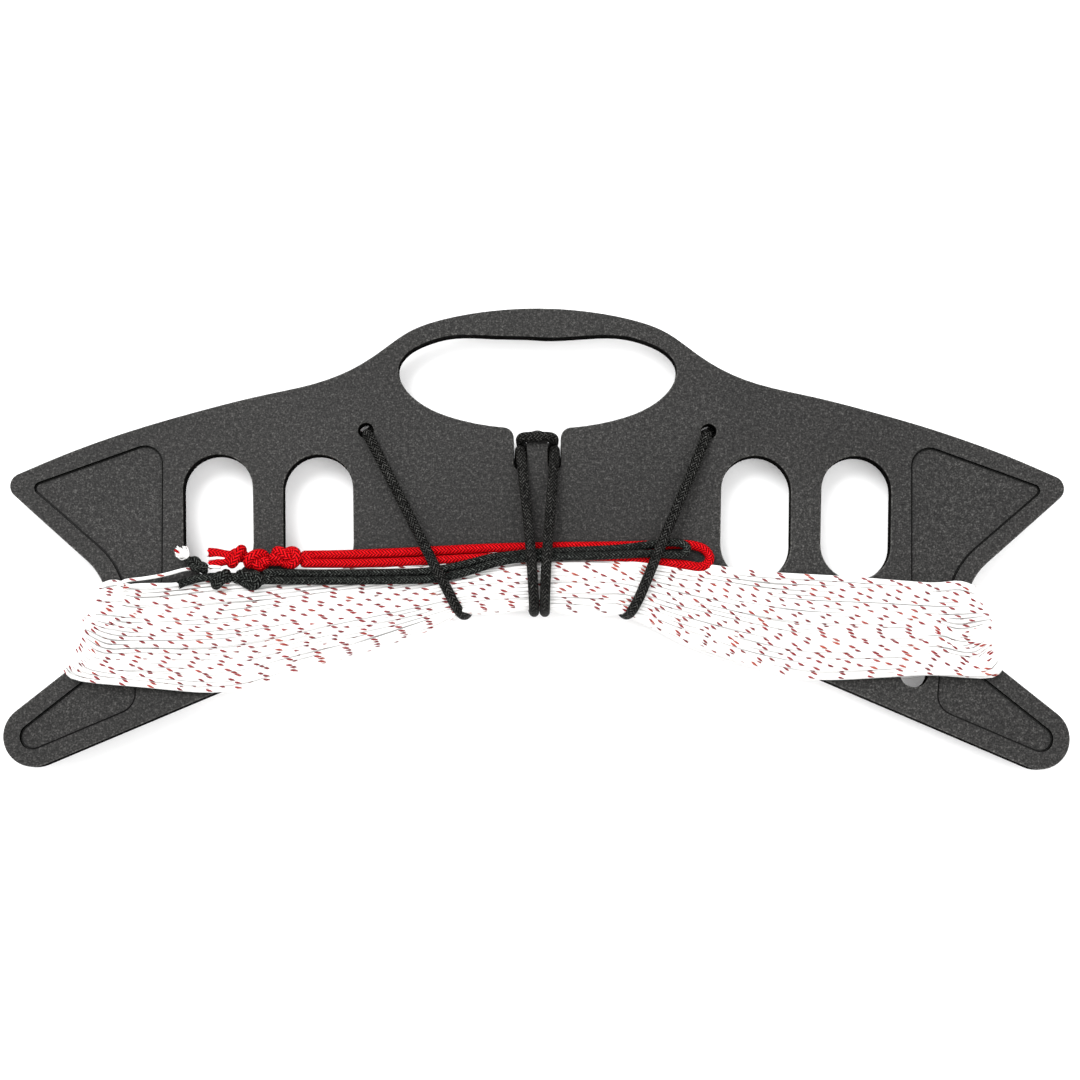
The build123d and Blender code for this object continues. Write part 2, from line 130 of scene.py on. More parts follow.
# ------------------------------------------------------------------ mesh tools
def nurbs_line(points, resolution=12):
    """The smooth line of a route: the points are the control points of one NURBS spline."""
    curve = bpy.data.curves.new("route", "CURVE")
    curve.dimensions = "3D"
    curve.resolution_u = resolution
    spline = curve.splines.new("NURBS")
    spline.points.add(len(points) - 1)
    for p, q in zip(spline.points, points):
        p.co = (q[0], q[1], q[2], 1.0)
    spline.order_u = 3
    spline.use_endpoint_u = True
    carrier = bpy.data.objects.new("route", curve)
    mesh = bpy.data.meshes.new_from_object(carrier)
    line = np.zeros(len(mesh.vertices) * 3)
    mesh.vertices.foreach_get("co", line)
    bpy.data.objects.remove(carrier)
    bpy.data.meshes.remove(mesh)
    bpy.data.curves.remove(curve)
    line = line.reshape(-1, 3)
    keep = np.ones(len(line), bool)
    keep[1:] = np.linalg.norm(np.diff(line, axis=0), axis=1) > 1e-6
    return line[keep]


def along_of(line):
    return np.concatenate([[0], np.cumsum(np.linalg.norm(np.diff(line, axis=0), axis=1))])


def even(line, step):
    s = along_of(line)
    at = np.linspace(0, s[-1], max(3, int(round(s[-1] / step)) + 1))
    return np.stack([np.interp(at, s, line[:, k]) for k in range(3)], axis=1)


def frames_of(line):
    """Tangent, normal and binormal at each point, carried along without twist."""
    t = np.gradient(line, axis=0)
    t /= np.maximum(np.linalg.norm(t, axis=1), 1e-12)[:, None]
    n = np.zeros_like(t)
    start = np.cross(t[0], (0.0, 0.0, 1.0))
    if np.linalg.norm(start) < 1e-3:
        start = np.cross(t[0], (1.0, 0.0, 0.0))
    n[0] = start / np.linalg.norm(start)
    for k in range(1, len(line)):
        v = n[k - 1] - np.dot(n[k - 1], t[k]) * t[k]
        n[k] = v / max(np.linalg.norm(v), 1e-12)
    return t, n, np.cross(t, n)


def mesh_object(name, verts, faces, uvs=None, material=None, smooth=True):
    mesh = bpy.data.meshes.new(name)
    mesh.from_pydata([tuple(v) for v in verts], [], [tuple(int(i) for i in f) for f in faces])
    for label, data in (uvs or {}).items():
        layer = mesh.uv_layers.new(name=label)
        layer.data.foreach_set("uv", np.asarray(data, np.float32).ravel())
    if smooth:
        mesh.polygons.foreach_set("use_smooth", [True] * len(mesh.polygons))
    mesh.update()
    obj = bpy.data.objects.new(name, mesh)
    bpy.context.scene.collection.objects.link(obj)
    if material is not None:
        mesh.materials.append(material)
    return obj


def tube_data(line, radius, sides, start=0.0, taper=True):
    """Vertices, quads and UVs (length in mm, turn 0..1) of a tube with rounded ends."""
    t, n, b = frames_of(line)
    s = along_of(line) + start
    r = np.full(len(line), radius) if np.isscalar(radius) else np.asarray(radius)
    if taper:
        extra_a = [line[0] - t[0] * r[0] * k for k in (0.85, 0.55)]
        extra_b = [line[-1] + t[-1] * r[-1] * k for k in (0.55, 0.85)]
        line = np.concatenate([extra_a, line, extra_b])
        n = np.concatenate([n[:1], n[:1], n, n[-1:], n[-1:]])
        b = np.concatenate([b[:1], b[:1], b, b[-1:], b[-1:]])
        s = np.concatenate([[s[0] - 0.85 * r[0], s[0] - 0.55 * r[0]], s,
                            [s[-1] + 0.55 * r[-1], s[-1] + 0.85 * r[-1]]])
        r = np.concatenate([[r[0] * 0.35, r[0] * 0.8], r, [r[-1] * 0.8, r[-1] * 0.35]])
    a = np.arange(sides) / sides * 2 * math.pi
    ring = (n[:, None, :] * np.cos(a)[None, :, None] + b[:, None, :] * np.sin(a)[None, :, None])
    verts = line[:, None, :] + ring * r[:, None, None]
    k = len(line)
    i, j = np.meshgrid(np.arange(k - 1), np.arange(sides), indexing="ij")
    i, j = i.ravel(), j.ravel()
    j2 = (j + 1) % sides
    faces = np.stack([i * sides + j, i * sides + j2, (i + 1) * sides + j2, (i + 1) * sides + j], 1)
    u0, u1 = s[i] * 1000, s[i + 1] * 1000
    v0, v1 = j / sides, (j + 1) / sides
    uv = np.stack([np.stack([u0, v0], 1), np.stack([u0, v1], 1),
                   np.stack([u1, v1], 1), np.stack([u1, v0], 1)], 1)
    caps = [list(range(sides))[::-1], list(range((k - 1) * sides, k * sides))]
    cap_uv = [np.array([(s[0] * 1000, q / sides) for q in range(sides)][::-1]),
              np.array([(s[-1] * 1000, q / sides) for q in range(sides)])]
    return verts.reshape(-1, 3), faces, uv.reshape(-1, 2), caps, cap_uv


def tube(name, line, radius, sides, material, taper=True):
    verts, faces, uv, caps, cap_uv = tube_data(line, radius, sides, taper=taper)
    all_faces = [tuple(f) for f in faces.tolist()] + [tuple(c) for c in caps]
    all_uv = np.concatenate([uv] + cap_uv)
    return mesh_object(name, verts, all_faces, {"cord": all_uv}, material)


def tubes(name, parts, material):
    """Several tubes in one mesh: parts are (line, radius, sides)."""
    vs, fs, us, base = [], [], [], 0
    for line, radius, sides in parts:
        verts, faces, uv, caps, cap_uv = tube_data(line, radius, sides)
        vs.append(verts)
        fs += [tuple(int(q) + base for q in f) for f in faces.tolist()]
        fs += [tuple(int(q) + base for q in c) for c in caps]
        us += [uv] + cap_uv
        base += len(verts)
    return mesh_object(name, np.concatenate(vs), fs, {"cord": np.concatenate(us)}, material)


# ------------------------------------------------------------------ materials
def new_material(name):
    m = bpy.data.materials.new(name)
    m.use_nodes = True
    nt = m.node_tree
    for n in list(nt.nodes):
        nt.nodes.remove(n)
    out = nt.nodes.new("ShaderNodeOutputMaterial")
    bsdf = nt.nodes.new("ShaderNodeBsdfPrincipled")
    nt.links.new(bsdf.outputs[0], out.inputs["Surface"])
    return m, nt, bsdf


def math_node(nt, op, a, b=None, c=None, clamp=False):
    n = nt.nodes.new("ShaderNodeMath")
    n.operation = op
    n.use_clamp = clamp
    for k, v in enumerate((a, b, c)):
        if v is None:
            continue
        if isinstance(v, (int, float)):
            n.inputs[k].default_value = v
        else:
            nt.links.new(v, n.inputs[k])
    return n.outputs[0]


def ramp(nt, fac, stops, mode="LINEAR"):
    n = nt.nodes.new("ShaderNodeValToRGB")
    n.color_ramp.interpolation = mode
    els = n.color_ramp.elements
    els[0].position, els[0].color = stops[0][0], (*stops[0][1], 1)
    els[1].position, els[1].color = stops[-1][0], (*stops[-1][1], 1)
    for pos, col in stops[1:-1]:
        e = els.new(pos)
        e.color = (*col, 1)
    nt.links.new(fac, n.inputs[0])
    return n.outputs[0]


def mix_colour(nt, fac, a, b, blend="MIX"):
    n = nt.nodes.new("ShaderNodeMix")
    n.data_type = "RGBA"
    n.blend_type = blend
    for socket, v in ((n.inputs[0], fac), (n.inputs[6], a), (n.inputs[7], b)):
        if isinstance(v, (int, float)):
            socket.default_value = v
        elif isinstance(v, tuple):
            socket.default_value = (*v, 1)
        else:
            nt.links.new(v, socket)
    return n.outputs[2]


def noise(nt, vector, scale, detail=2.0, rough=0.5):
    n = nt.nodes.new("ShaderNodeTexNoise")
    n.inputs["Scale"].default_value = scale
    n.inputs["Detail"].default_value = detail
    n.inputs["Roughness"].default_value = rough
    nt.links.new(vector, n.inputs["Vector"])
    return n.outputs[0]


def bump(nt, height, distance, strength=1.0, after=None):
    n = nt.nodes.new("ShaderNodeBump")
    n.inputs["Strength"].default_value = strength
    n.inputs["Distance"].default_value = distance
    nt.links.new(height, n.inputs["Height"])
    if after is not None:
        nt.links.new(after, n.inputs["Normal"])
    return n.outputs[0]


def object_coordinates(nt):
    return nt.nodes.new("ShaderNodeTexCoord").outputs["Object"]


def cord_uv(nt):
    n = nt.nodes.new("ShaderNodeUVMap")
    n.uv_map = "cord"
    x = nt.nodes.new("ShaderNodeSeparateXYZ")
    nt.links.new(n.outputs[0], x.inputs[0])
    return x.outputs[0], x.outputs[1]


def braid(nt, carriers, pitch):
    """Height of a two-over-two braid, which of its two directions is on top, and a number for each yarn."""
    u, v = cord_uv(nt)
    around = math_node(nt, "MULTIPLY", v, float(carriers))
    length = math_node(nt, "DIVIDE", u, pitch)
    s1 = math_node(nt, "ADD", around, length)
    s2 = math_node(nt, "SUBTRACT", around, length)
    i, j = math_node(nt, "FLOOR", s1), math_node(nt, "FLOOR", s2)
    f1, f2 = math_node(nt, "SUBTRACT", s1, i), math_node(nt, "SUBTRACT", s2, j)
    total = math_node(nt, "ADD", i, j)
    top = math_node(nt, "LESS_THAN", math_node(nt, "FLOORED_MODULO", total, 4.0), 1.5)
    w1 = math_node(nt, "SINE", math_node(nt, "MULTIPLY", f1, math.pi))
    w2 = math_node(nt, "SINE", math_node(nt, "MULTIPLY", f2, math.pi))
    across = math_node(nt, "ADD", math_node(nt, "MULTIPLY", w1, top),
                       math_node(nt, "MULTIPLY", w2, math_node(nt, "SUBTRACT", 1.0, top)))
    across = math_node(nt, "MAXIMUM", across, 0.0)
    # filaments run along the yarn that is on top
    g1 = math_node(nt, "SINE", math_node(nt, "MULTIPLY", f1, math.pi * 7))
    g2 = math_node(nt, "SINE", math_node(nt, "MULTIPLY", f2, math.pi * 7))
    fibre = math_node(nt, "ADD", math_node(nt, "MULTIPLY", g1, top),
                      math_node(nt, "MULTIPLY", g2, math_node(nt, "SUBTRACT", 1.0, top)))
    return across, fibre, top, i, j


def braid_material(name, carriers, pitch, low, high, glint, rough=0.5, depth=0.00012, sheen=0.3):
    m, nt, bsdf = new_material(name)
    across, fibre, top, i, j = braid(nt, carriers, pitch)
    obj = object_coordinates(nt)
    mottle = noise(nt, obj, 1500.0, 2.0)
    level = math_node(nt, "MULTIPLY", across, math_node(nt, "ADD", 0.93, math_node(nt, "MULTIPLY", fibre, 0.07)))
    level = math_node(nt, "ADD", level, math_node(nt, "MULTIPLY",
                      math_node(nt, "SUBTRACT", mottle, 0.5), 0.25), clamp=True)
    # painted shade in the gaps between yarns, and the yarn crowns painted lighter with a painted glint at their tops
    colour = ramp(nt, level, [(0.25, low), (0.66, tuple(0.6 * a + 0.4 * b for a, b in zip(low, high))),
                              (0.87, high), (0.99, glint)])
    nt.links.new(colour, bsdf.inputs["Base Color"])
    height = math_node(nt, "ADD", across, math_node(nt, "MULTIPLY", fibre, 0.12))
    nt.links.new(bump(nt, height, depth), bsdf.inputs["Normal"])
    bsdf.inputs["Roughness"].default_value = rough
    bsdf.inputs["Specular IOR Level"].default_value = 0.03
    bsdf.inputs["Sheen Weight"].default_value = sheen
    bsdf.inputs["Sheen Roughness"].default_value = 0.4
    return m


def occlusion(nt, distance, inside=False):
    n = nt.nodes.new("ShaderNodeAmbientOcclusion")
    n.samples = 6
    n.inside = inside
    n.inputs["Distance"].default_value = distance
    return n.outputs["AO"]


def plate_material():
    """Moulded plastic with a spark-eroded grain and pale specks, a painted highlight on the rounded rim, and painted
    shade on the walls and in the corners.
    """
    m, nt, bsdf = new_material("plate_grain")
    obj = object_coordinates(nt)
    fine = noise(nt, obj, 2100.0, 2.0, 0.7)
    coarse = noise(nt, obj, 900.0, 2.0, 0.5)
    speck = noise(nt, obj, 1700.0, 1.0, 0.4)
    cloud = noise(nt, obj, 26.0, 3.0, 0.55)
    grain = math_node(nt, "ADD", math_node(nt, "MULTIPLY", fine, 0.65),
                      math_node(nt, "MULTIPLY", coarse, 0.35))
    base = ramp(nt, grain, [(0.33, (0.0022, 0.0021, 0.0020)), (0.45, (0.0105, 0.0102, 0.0098)),
                            (0.55, (0.0255, 0.0249, 0.0240)), (0.68, (0.078, 0.076, 0.073))])
    worn = math_node(nt, "GREATER_THAN", speck, 0.70)
    base = mix_colour(nt, math_node(nt, "MULTIPLY", worn, 0.45), base, (0.10, 0.098, 0.095))
    tone = ramp(nt, cloud, [(0.3, (0.84, 0.84, 0.84)), (0.7, (1.15, 1.15, 1.15))])
    colour = mix_colour(nt, 1.0, base, tone, "MULTIPLY")
    # painted highlight on the rounded rim and painted shade on the steep walls, both set by how steep the face is
    geo = nt.nodes.new("ShaderNodeNewGeometry")
    axis = nt.nodes.new("ShaderNodeSeparateXYZ")
    nt.links.new(geo.outputs["True Normal"], axis.inputs[0])
    up = math_node(nt, "ABSOLUTE", axis.outputs[2])
    painted_rim_light_wall_shade = ramp(nt, up, [(0.0, (0.20, 0.20, 0.20)), (0.3, (0.32, 0.32, 0.32)), (0.55, (1.5, 1.5, 1.48)),
                        (0.9, (2.0, 2.0, 1.97)), (0.985, (1.0, 1.0, 1.0))])
    colour = mix_colour(nt, 1.0, colour, painted_rim_light_wall_shade, "MULTIPLY")
    # painted shade: corners, recesses and the foot of walls are darkened by ambient occlusion
    open_sky = occlusion(nt, 0.0011)
    shade = ramp(nt, open_sky, [(0.35, (0.22, 0.22, 0.22)), (0.80, (0.86, 0.86, 0.86)), (0.98, (1.0, 1.0, 1.0))])
    colour = mix_colour(nt, 1.0, colour, shade, "MULTIPLY")
    nt.links.new(colour, bsdf.inputs["Base Color"])
    rough = ramp(nt, coarse, [(0.35, (0.56, 0.56, 0.56)), (0.7, (0.72, 0.72, 0.72))])
    nt.links.new(rough, bsdf.inputs["Roughness"])
    gloss = ramp(nt, up, [(0.0, (0.0, 0.0, 0.0)), (0.35, (0.03, 0.03, 0.03)), (0.7, (0.28, 0.28, 0.28)),
                          (0.985, (0.17, 0.17, 0.17))])
    nt.links.new(gloss, bsdf.inputs["Specular IOR Level"])
    nt.links.new(bump(nt, grain, 0.00011, 0.9), bsdf.inputs["Normal"])
    return m


def line_material():
    """White braided line with one red yarn that winds round it and shows as short dashes."""
    m, nt, bsdf = new_material("line_white_red")
    u, v = cord_uv(nt)
    turn = math_node(nt, "SUBTRACT", math_node(nt, "DIVIDE", u, 7.5), v)
    part = math_node(nt, "FRACT", math_node(nt, "ADD", turn, 4000.0))
    dist = math_node(nt, "ABSOLUTE", math_node(nt, "SUBTRACT", part, 0.5))
    edge = noise(nt, object_coordinates(nt), 4200.0, 1.0)
    slow = noise(nt, object_coordinates(nt), 160.0, 1.0)
    limit = math_node(nt, "ADD", 0.118, math_node(nt, "MULTIPLY",
                      math_node(nt, "SUBTRACT", edge, 0.5), 0.05))
    along = math_node(nt, "ABSOLUTE", math_node(nt, "SUBTRACT",
                      math_node(nt, "FRACT", math_node(nt, "ADD", math_node(nt, "DIVIDE", u, 7.5), 4000.0)), 0.5))
    window = math_node(nt, "ADD", 0.115, math_node(nt, "MULTIPLY",
                       math_node(nt, "SUBTRACT", slow, 0.5), 0.10))
    reach = math_node(nt, "POWER", math_node(nt, "DIVIDE", along, window), 2.0)
    limit = math_node(nt, "MULTIPLY", limit, math_node(nt, "SUBTRACT", 1.0, math_node(nt, "MULTIPLY", reach, 0.55)))
    red = math_node(nt, "MULTIPLY", math_node(nt, "LESS_THAN", dist, limit),
                    math_node(nt, "LESS_THAN", along, window))
    across, fibre, top, i, j = braid(nt, 8, 0.55)
    # painted shade where the yarns dip between each other; the yarn crowns are painted lighter
    white = ramp(nt, across, [(0.0, (0.62, 0.61, 0.60)), (0.4, (0.74, 0.735, 0.725)),
                              (1.0, (0.79, 0.785, 0.775))])
    tint = ramp(nt, slow, [(0.36, (0.12, 0.001, 0.004)), (0.55, (0.19, 0.003, 0.006)), (0.68, (0.29, 0.036, 0.014))])
    fade = math_node(nt, "MULTIPLY", red, math_node(nt, "ADD", 0.88, math_node(nt, "MULTIPLY", edge, 0.25)), clamp=True)
    colour = mix_colour(nt, fade, white, tint)
    nt.links.new(colour, bsdf.inputs["Base Color"])
    height = math_node(nt, "ADD", across, math_node(nt, "MULTIPLY", fibre, 0.1))
    nt.links.new(bump(nt, height, 0.00003, 0.6), bsdf.inputs["Normal"])
    bsdf.inputs["Roughness"].default_value = 0.6
    bsdf.inputs["Specular IOR Level"].default_value = 0.3
    bsdf.inputs["Sheen Weight"].default_value = 0.15
    return m




# ------------------------------------------------------------------ the wound lines
# All in millimetres here. Each line makes 41 turns round the two notches. Every turn has a
# control point at each station along the front and the back, and some round each notch.
STATIONS = np.array([-104, -95, -86, -77, -68, -59, -50, -41, -33, -26, -19.5, -12, -4.5, 2.5,
                     9, 16.5, 23, 29, 37, 45, 53, 61, 69, 78, 87, 96, 104.0])
TURNS = 41
STRANDS = 2 * TURNS
LD = LINE_D * 1000


def edge_curves():
    """Upper and lower edge of the wound lines, as functions of x."""
    pts = [(x * 1000, y * 1000) for x, y in WIND_OUTLINE]
    first = pts.index((114.3, -12.6))
    top = sorted(pts[first:] + [pts[0]])
    low = sorted(pts[5:27])
    return np.array(top), np.array(low)


def arch_edge(x):
    """The lower edge of the plate between its two lower arms."""
    straight = -5.94 - 0.427 * np.abs(x)
    tangent = 90.0 * math.sin(math.atan(0.427))
    arc = -5.94 - 90.0 * (1 / math.cos(math.atan(0.427)) - 1) - (90.0 - np.sqrt(90.0 ** 2 - np.minimum(np.abs(x), 89) ** 2))
    return np.where(np.abs(x) < tangent, arc, straight)


def notch_wall(side, s):
    """A point on the notch's wall and the way out of the wall there; s runs down it from its top."""
    r, cx, cy = 16.8, 128.85, -19.75
    s = np.asarray(s, float)
    a0 = math.asin(6.65 / r)
    a1 = -math.radians(51.1)
    arc = (a0 - a1) * r
    a = a0 - np.minimum(s, arc) / r
    x, y = cx - r * np.cos(a), cy + r * np.sin(a)
    nx, ny = np.cos(a), -np.sin(a)
    extra = np.maximum(s - arc, 0)
    x, y = x + extra * math.cos(math.radians(38.9)), y - extra * math.sin(math.radians(38.9))
    return np.stack([side * x, y], -1), np.stack([side * nx, ny], -1)


def push_apart(p, d, gain):
    """One pass that moves overlapping discs apart; p is (planes, discs, 2)."""
    diff = p[:, :, None, :] - p[:, None, :, :]
    dist = np.sqrt((diff ** 2).sum(-1)) + 1e-9
    lap = np.clip(d - dist, 0, None)
    k = np.arange(p.shape[1])
    lap[:, k, k] = 0
    return p + gain * (diff / dist[..., None] * lap[..., None]).sum(2)


def lay_strands(rounds):
    rng = np.random.default_rng(11)
    top, low = edge_curves()
    x = STATIONS
    n, k = STRANDS, len(x)
    y_top = np.interp(x, top[:, 0], top[:, 1]) - 0.55 * LD
    y_top -= 0.6 * np.clip((np.abs(x) - 80) / 20, 0, 1) + 0.8 * np.clip((-x - 88) / 12, 0, 1)
    y_low = np.interp(x, low[:, 0], low[:, 1]) + 0.55 * LD
    edge = arch_edge(x)
    m = np.arange(n)
    # the winder's hand sweeps up and down the notch as it winds
    sweep = np.abs(((m / 27.0) % 2.0) - 1.0)
    knots = np.linspace(0, 1, 7)

    def wander(size):
        w = rng.normal(0, size, (n, 7))
        at = (x - x[0]) / (x[-1] - x[0])
        rows = [np.interp(at, knots, np.convolve(r, [0.25, 0.5, 0.25], "same")) for r in w]
        return np.array(rows)

    t = ((x - x[0]) / (x[-1] - x[0]))[None, :]
    all_m = np.arange(n + 2)
    long_sweep = np.abs(((all_m / 27.0) % 2.0) - 1.0)
    # the last sweep lies evenly side by side and covers the rest
    loose = np.where(all_m < n - 28, 0.06, 0.012)
    at_left = np.clip(long_sweep + rng.normal(0, 1, n + 2) * loose, 0.0, 1.0)
    at_right = np.clip(sweep + rng.normal(0, 1, n) * loose[:n], 0.0, 1.0)

    def lateral(left):
        u = left[:, None] * (1 - t) + at_right[:, None] * t + wander(0.03) * np.sin(math.pi * t) * (loose[:n, None] * 8 + 0.5)
        return np.clip(u, 0.0, 1.0)

    # a pass meets the next one at the notch between them, so both have one place there
    uf, ub = lateral(at_left[:n]), lateral(at_left[2:])
    uf[-2:, 0] = 0.04
    ub[-2:, 0] = 0.04
    layer = m / n * 3.6
    goal = np.zeros((k, 2 * n))
    p = np.zeros((k, 2 * n, 2))
    for f, u in ((0, uf), (1, ub)):
        ys = y_top[None, :] + u * (y_low - y_top)[None, :]
        goal[:, f * n:(f + 1) * n] = ys.T
        p[:, f * n:(f + 1) * n, 0] = ys.T
        h = 0.5 * LD + layer[:, None] + rng.normal(0, 0.05, (n, k))
        p[:, f * n:(f + 1) * n, 1] = (10 + h if f == 0 else 5 - h).T
    front = np.zeros(2 * n, bool)
    front[:n] = True
    # under an elastic the strands are pressed flatter
    press_front = np.interp(x, [-36, -27, -22, -16, -7, -3, 3, 7, 17, 24, 30, 38],
                            [14.5, 14.0, 13.9, 14.25, 14.2, 14.0, 14.0, 14.2, 14.25, 13.9, 14.0, 14.5])
    press_front = np.minimum(press_front, 14.32)
    back_low = np.where(np.abs(x) < 22, 2.7, 0.62)
    back_low = np.where((np.abs(x) >= 22) & (np.abs(x) < 30), 1.4, back_low)
    floor_y = y_low.copy()
    floor_y[np.abs(x - 1) < 8] = np.maximum(floor_y[np.abs(x - 1) < 8], -18.9)
    floor_y[np.abs(np.abs(x) - 21.5) < 4] = np.maximum(floor_y[np.abs(np.abs(x) - 21.5) < 4], -19.9)
    half = 0.5 * LD
    # the strands below the two leaders are held down by them
    lower = np.array([(px * 1000, py * 1000) for px, py, pz in BLACK_LEADER[:18:-1]])
    lower = lower[np.argsort(lower[:, 0])]
    leader_y = np.where((x > -74) & (x < 34), np.interp(x, lower[:, 0], lower[:, 1]) - 1.45, 99.0)
    for step in range(rounds):
        last = step > rounds - 25
        if not last:
            pull = 0.05 if step < rounds * 0.6 else 0.02
            p[:, :, 0] += pull * (goal - p[:, :, 0])
            dev = p[:, :, 0] - goal
            dev[1:-1] += 0.35 * (0.5 * (dev[:-2] + dev[2:]) - dev[1:-1])
            p[:, :, 0] = goal + dev
            z = p[:, :, 1]
            z[1:-1] += 0.35 * (0.5 * (z[:-2] + z[2:]) - z[1:-1])
            z[:, front] -= 0.03
            z[:, ~front] += 0.03
        p = push_apart(p, LD, 0.42)
        # plate and limits
        y, z = p[:, :, 0], p[:, :, 1]
        y[:] = np.clip(y, floor_y[:, None], y_top[:, None])
        over = y > edge[:, None] - half * 0.8
        zf = np.where(over, 10 + half, 7.55)
        zb = np.where(over, 5 - half, 7.45)
        # a strand that has slipped under the plate's edge goes back to its own face
        z[:] = np.where(front[None, :], np.maximum(z, zf), np.minimum(z, zb))
        top_limit = np.where(y > leader_y[:, None], 11.95, press_front[:, None])
        z[:] = np.where(front[None, :], np.minimum(z, top_limit), np.maximum(z, back_low[:, None]))
    return p[:, :n], p[:, n:], y_top, y_low


LENS = {-1: [(0, 0.55), (4.5, 2.6), (7.0, 4.3), (11.8, 5.9), (17.0, 5.0), (21.5, 2.6), (25.6, 0.6), (27, 0.55)],
        1: [(0, 0.7), (3.2, 2.9), (7.4, 5.7), (11.0, 6.3), (16.6, 3.9), (20.6, 1.6), (24.6, 0.6), (27, 0.55)]}


def lay_notch(side, u, rank, rounds):
    """Where each strand passes through the notch: distance down the wall and out from it."""
    rng = np.random.default_rng(5 + side)
    lens = np.array(LENS[side])
    n = len(u)
    last_s = 26.5 if side < 0 else 24.8
    goal = 0.8 + u * (last_s - 1.6)
    s = goal.copy()
    room = np.maximum(np.interp(s, lens[:, 0], lens[:, 1]) - 0.3, 0.5 * LD)
    deep = 0.5 * LD + (rank / n) ** 0.8 * (room - 0.5 * LD)
    outer = rank >= n - 27
    deep = np.where(outer, room, np.minimum(deep, np.maximum(room - 0.9 * LD, 0.5 * LD)))
    h = np.maximum(deep + rng.normal(0, 0.04, n), 0.5 * LD)
    q = np.stack([s, h], -1)[None]
    for step in range(rounds):
        wall, out = notch_wall(1, q[0, :, 0])
        xy = wall + out * q[0, :, 1:2]
        moved = push_apart(xy[None], LD, 0.42)[0] - xy
        way = np.stack([-out[:, 1], out[:, 0]], -1)      # along the wall, upwards or downwards
        down = np.sign((notch_wall(1, q[0, :, 0] + 0.1)[0] - wall) @ np.array([0, 1.0]))
        along = (moved * way).sum(-1) * np.where(way[:, 1] * down > 0, 1, -1)
        q[0, :, 0] += along + (0.01 if step < rounds - 20 else 0) * (goal - q[0, :, 0])
        q[0, :, 1] += (moved * out).sum(-1) + np.where(outer, 0.15, 0.03 if step < rounds - 20 else 0) * (deep - q[0, :, 1])
        q[0, :, 0] = np.clip(q[0, :, 0], 0.3, last_s)
        q[0, :, 1] = np.clip(q[0, :, 1], 0.5 * LD, np.maximum(np.interp(q[0, :, 0], lens[:, 0], lens[:, 1]) - 0.3, 0.5 * LD))
    return q[0]


def wound_routes():
    rounds = 260
    f, b, y_top, y_low = lay_strands(rounds)
    n = STRANDS
    m = np.arange(n)
    # right side: front pass m turns into back pass m; left: back pass m into front pass m + 2
    def down(i, y):
        return np.clip((y_top[i] - y) / (y_top[i] - y_low[i]), 0, 1)

    y_next = np.concatenate([f[0, 2:, 0], [y_top[0] - 1.0] * 2])
    u_right = down(-1, 0.5 * (f[-1, :, 0] + b[-1, :, 0]))
    u_left = down(0, 0.5 * (b[0, :, 0] + y_next))
    right = lay_notch(1, u_right, m, rounds)
    left = lay_notch(-1, u_left, m, rounds)

    def face_height(value):
        return max(0.5 * LD, value)

    def turn(side, q, z_front, z_back, to_back):
        """Control points round the notch, from the front face to the back one."""
        s, h = q
        wall, out = notch_wall(side, s)
        hf, hb = face_height(z_front - 10), face_height(5 - z_back)
        def xy(d):
            return wall + out * d
        pts = [(*xy(-3.4), 10 + hf), (*xy(0.35 * h), 10 + hf + 0.12), (*xy(h + 0.28), 10 + 0.55 * hf + 0.2),
               (*xy(h + 0.18), 7.5), (*xy(h + 0.28), 5 - 0.55 * hb - 0.2), (*xy(0.35 * h), 5 - hb - 0.12),
               (*xy(-3.4), 5 - hb)]
        return pts if to_back else pts[::-1]

    routes = []
    for line in (0, 1):
        first = b[:, line]
        hole = [(98.1, -35.9, 8.6), (98.1, -35.8, 5.6), (96.6, -34.6, 4.45)]
        pts = list(hole)
        k = len(STATIONS)
        start = b[:, line + 0]
        for i in range(k - 3, -1, -1):
            w = min(1.0, (k - 2 - i) / 8.0)
            y = (1 - w) * (-34.0 + 0.4 * line) + w * start[i, 0]
            pts.append((STATIONS[i], y, 4.5))
        # the first part turn joins the winding proper at the left notch
        s0 = (float(left[line, 0]) * 0.5 + 8.0, 0.5 * LD)
        pts += turn(-1, s0, f[0, line, 1], 4.5, False)
        for j in range(TURNS):
            q = 2 * j + line
            pts += [(STATIONS[i], f[i, q, 0], f[i, q, 1]) for i in range(k)]
            pts += turn(1, right[q], f[-1, q, 1], b[-1, q, 1], True)
            pts += [(STATIONS[i], b[i, q, 0], b[i, q, 1]) for i in range(k - 1, -1, -1)]
            z_next = f[0, q + 2, 1] if q + 2 < n else 11.4
            pts += turn(-1, left[q], z_next, b[0, q, 1], False)
        routes.append(pts)
    return routes
# ------------------------------------------------------------------ build: plate
mat_plate = plate_material()
mat_line = line_material()
mat_elastic = braid_material("elastic_braid", 10, 0.95, (0.0003, 0.0003, 0.0003), (0.0050, 0.0049, 0.0046),
                             (0.135, 0.134, 0.127), rough=0.6, depth=0.00012, sheen=0.0)
mat_red = braid_material("red_braid", 8, 0.90, (0.070, 0.0002, 0.0010), (0.56, 0.0012, 0.004),
                         (0.92, 0.020, 0.026), rough=0.65, depth=0.00011, sheen=0.0)
mat_black = braid_material("black_braid", 8, 0.90, (0.0003, 0.0003, 0.0003), (0.0045, 0.0050, 0.0047),
                           (0.150, 0.162, 0.150), rough=0.55, depth=0.00011, sheen=0.0)

plate = nodes["winder_plate"]
plate.data.materials.clear()
plate.data.materials.append(mat_plate)

